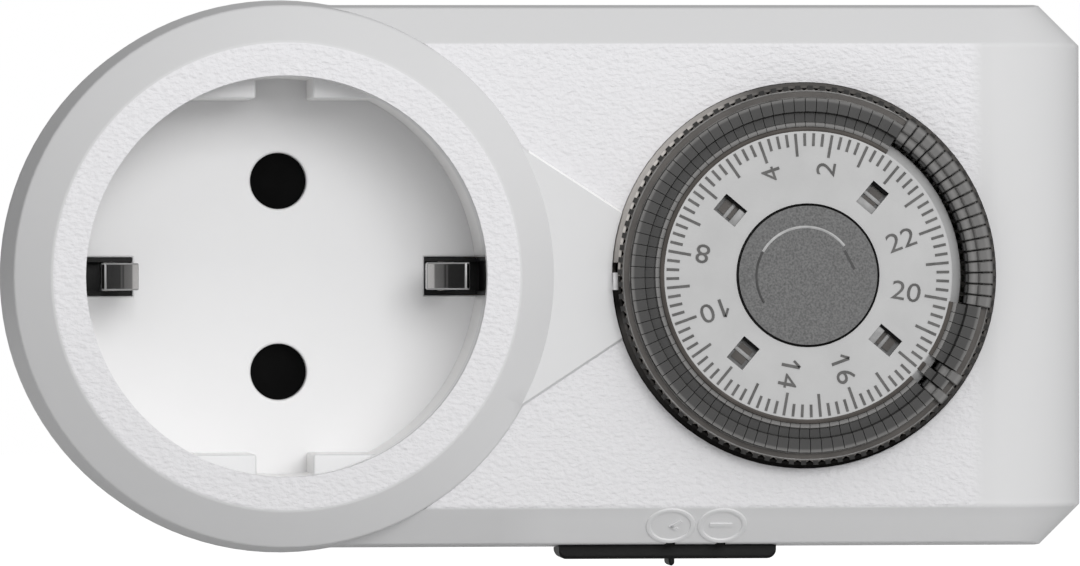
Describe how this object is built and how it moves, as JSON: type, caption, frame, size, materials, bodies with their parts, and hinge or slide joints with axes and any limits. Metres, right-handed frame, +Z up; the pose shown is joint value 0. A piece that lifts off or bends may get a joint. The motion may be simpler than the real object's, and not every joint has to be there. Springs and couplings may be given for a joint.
{
  "type": "plug-in timer switch",
  "caption": "Plug-in mains timer: a pass-through round socket, a segment dial with push-out tappets, and an override slider in a white housing with a plug behind it.",
  "frame": {"origin": "centre of the plug's end face, midway between its two pins", "axes": "+X from the socket towards the dial end, +Y out of the plug's face towards the wall, so the front faces -Y, and +Z up"},
  "size_m": [0.1072, 0.0665, 0.0562],
  "materials": {
    "housing": "fine moulded grain on the faces, smooth on the chamfers",
    "frame_plastic": "smooth moulding",
    "pin_plating": "bright nickel plate",
    "earth_metal": "bright nickel plate, bevelled edges",
    "contact_brass": "pressed strip",
    "screw_steel": "zinc plate",
    "spring_steel": "bright",
    "arbor_steel": "turned",
    "can_steel": "drawn and zinc plated",
    "magnet": "ground ferrite",
    "copper_wire": "enamelled wire, layer wound",
    "lead_sleeve": "smooth insulation",
    "gear_plastic": "natural, slightly waxy",
    "bobbin_plastic": "natural",
    "bezel_black": "glossy",
    "shutter_black": "glossy",
    "slider_black": "fine grain",
    "dial_rim": "satin, with a knurled edge",
    "dial_light": "satin, with dark printed numerals and ticks",
    "knob_grey": "speckled, with a raised arrow",
    "tappet_dark": "satin",
    "tappet_grey": "satin"
  },
  "bodies": {
    "housing": {"rear_shell": "housing", "front_shell": "housing", "housing_screws": "screw_steel", "socket_cup": "housing", "pin_carrier": "frame_plastic", "live_pin": "pin_plating", "neutral_pin": "pin_plating", "plug_earth_left": "earth_metal", "plug_earth_right": "earth_metal", "earth_sleeve": "earth_metal", "earth_bridge": "earth_metal", "earth_clip_left": "earth_metal", "earth_clip_right": "earth_metal", "clip_channels": "slider_black", "contact_carrier": "frame_plastic", "live_contact": "contact_brass", "neutral_contact": "contact_brass", "neutral_strap": "contact_brass", "live_strap_in": "contact_brass", "live_strap_out": "contact_brass", "shutter_spring": "spring_steel", "movement_plate": "frame_plastic", "front_plate": "frame_plastic", "plate_pillars": "arbor_steel", "motor_can": "can_steel", "motor_cover": "can_steel", "coil_bobbin": "bobbin_plastic", "coil_winding": "copper_wire", "motor_leads": "lead_sleeve", "gear_pins": "arbor_steel", "dial_bezel": "bezel_black", "dial_screw": "screw_steel", "detent_spring": "spring_steel", "lever_post": "arbor_steel", "lever_spring": "spring_steel", "switch_case": "tappet_dark", "fixed_contact": "contact_brass"},
    "shutter": {"shutter": "shutter_black"},
    "rotor": {"rotor_magnet": "magnet", "rotor_arbor": "arbor_steel"},
    "first_gear": {"gear_one": "gear_plastic"},
    "second_gear": {"gear_two": "gear_plastic"},
    "clutch_wheel": {"clutch_wheel": "gear_plastic"},
    "clutch_shaft": {"clutch_arbor": "arbor_steel", "clutch_spring": "spring_steel"},
    "dial": {"dial_ring": "dial_rim", "dial_gear": "gear_plastic", "dial_face": "dial_light", "centre_knob": "knob_grey", "tappets_off": "tappet_dark", "tappets_on": "tappet_grey"},
    "tappet_a": {"tappet_a": "tappet_grey"},
    "tappet_b": {"tappet_b": "tappet_grey"},
    "tappet_c": {"tappet_c": "tappet_dark"},
    "tappet_d": {"tappet_d": "tappet_dark"},
    "slider": {"override_slider": "slider_black"},
    "lever": {"switch_lever": "gear_plastic"},
    "plunger": {"switch_plunger": "bobbin_plastic"},
    "blade": {"contact_blade": "contact_brass"}
  },
  "joints": [
    {"name": "shutter_turn", "type": "hinge", "parent": "housing", "child": "shutter", "pos_m": [0, -0.0268, 0], "axis": [0, -1, 0], "range_deg": [0, 37], "stiffness_Nm_per_rad": 0.002, "springref_deg": -11.46},
    {"name": "motor_spin", "type": "hinge", "parent": "housing", "child": "rotor", "pos_m": [0.063, -0.026, -0.0112], "axis": [0, -1, 0], "continuous": true},
    {"name": "gear_one_spin", "type": "hinge", "parent": "housing", "child": "first_gear", "pos_m": [0.058, -0.033, -0.00254], "axis": [0, -1, 0], "continuous": true},
    {"name": "gear_two_spin", "type": "hinge", "parent": "housing", "child": "second_gear", "pos_m": [0.058, -0.031, 0.00746], "axis": [0, -1, 0], "continuous": true},
    {"name": "clutch_wheel_spin", "type": "hinge", "parent": "housing", "child": "clutch_wheel", "pos_m": [0.05537, -0.0295, 0.01628], "axis": [0, -1, 0], "continuous": true},
    {"name": "dial_turn", "type": "hinge", "parent": "housing", "child": "dial", "pos_m": [0.0512, -0.044, 0], "axis": [0, -1, 0], "continuous": true},
    {"name": "clutch_shaft_spin", "type": "hinge", "parent": "housing", "child": "clutch_shaft", "pos_m": [0.05537, -0.03, 0.01628], "axis": [0, -1, 0], "continuous": true},
    {"name": "tappet_a_slide", "type": "slide", "parent": "dial", "child": "tappet_a", "axis": [0.9887, 0, -0.15], "range_m": [-0.00092, 0]},
    {"name": "tappet_b_slide", "type": "slide", "parent": "dial", "child": "tappet_b", "axis": [0.5718, 0, 0.8204], "range_m": [-0.00092, 0]},
    {"name": "tappet_c_slide", "type": "slide", "parent": "dial", "child": "tappet_c", "axis": [0.9768, 0, -0.2143], "range_m": [0, 0.00092]},
    {"name": "tappet_d_slide", "type": "slide", "parent": "dial", "child": "tappet_d", "axis": [0.5169, 0, 0.856], "range_m": [0, 0.00092]},
    {"name": "override_slide", "type": "slide", "parent": "housing", "child": "slider", "axis": [1, 0, 0], "range_m": [0, 0.00505]},
    {"name": "lever_turn", "type": "hinge", "parent": "housing", "child": "lever", "pos_m": [0.0295, -0.033, -0.014], "axis": [0, -1, 0], "range_deg": [0, 3]},
    {"name": "plunger_slide", "type": "slide", "parent": "housing", "child": "plunger", "axis": [-1, 0, 0], "range_m": [0, 0.00062]},
    {"name": "blade_turn", "type": "hinge", "parent": "housing", "child": "blade", "pos_m": [0.0262, -0.03, -0.0081], "axis": [0, -1, 0], "range_deg": [0, 5.16]}
  ],
  "couplings": [
    {"joint": "gear_one_spin", "follows": "motor_spin", "ratio": -0.25},
    {"joint": "gear_two_spin", "follows": "motor_spin", "ratio": 0.0625},
    {"joint": "clutch_wheel_spin", "follows": "motor_spin", "ratio": -0.017361},
    {"joint": "clutch_shaft_spin", "follows": "dial_turn", "ratio": -6},
    {"joint": "lever_turn", "follows": "override_slide", "rad_per_m": 10.368},
    {"joint": "plunger_slide", "follows": "override_slide", "ratio": 0.12277},
    {"joint": "blade_turn", "follows": "override_slide", "rad_per_m": 17.822}
  ]
}
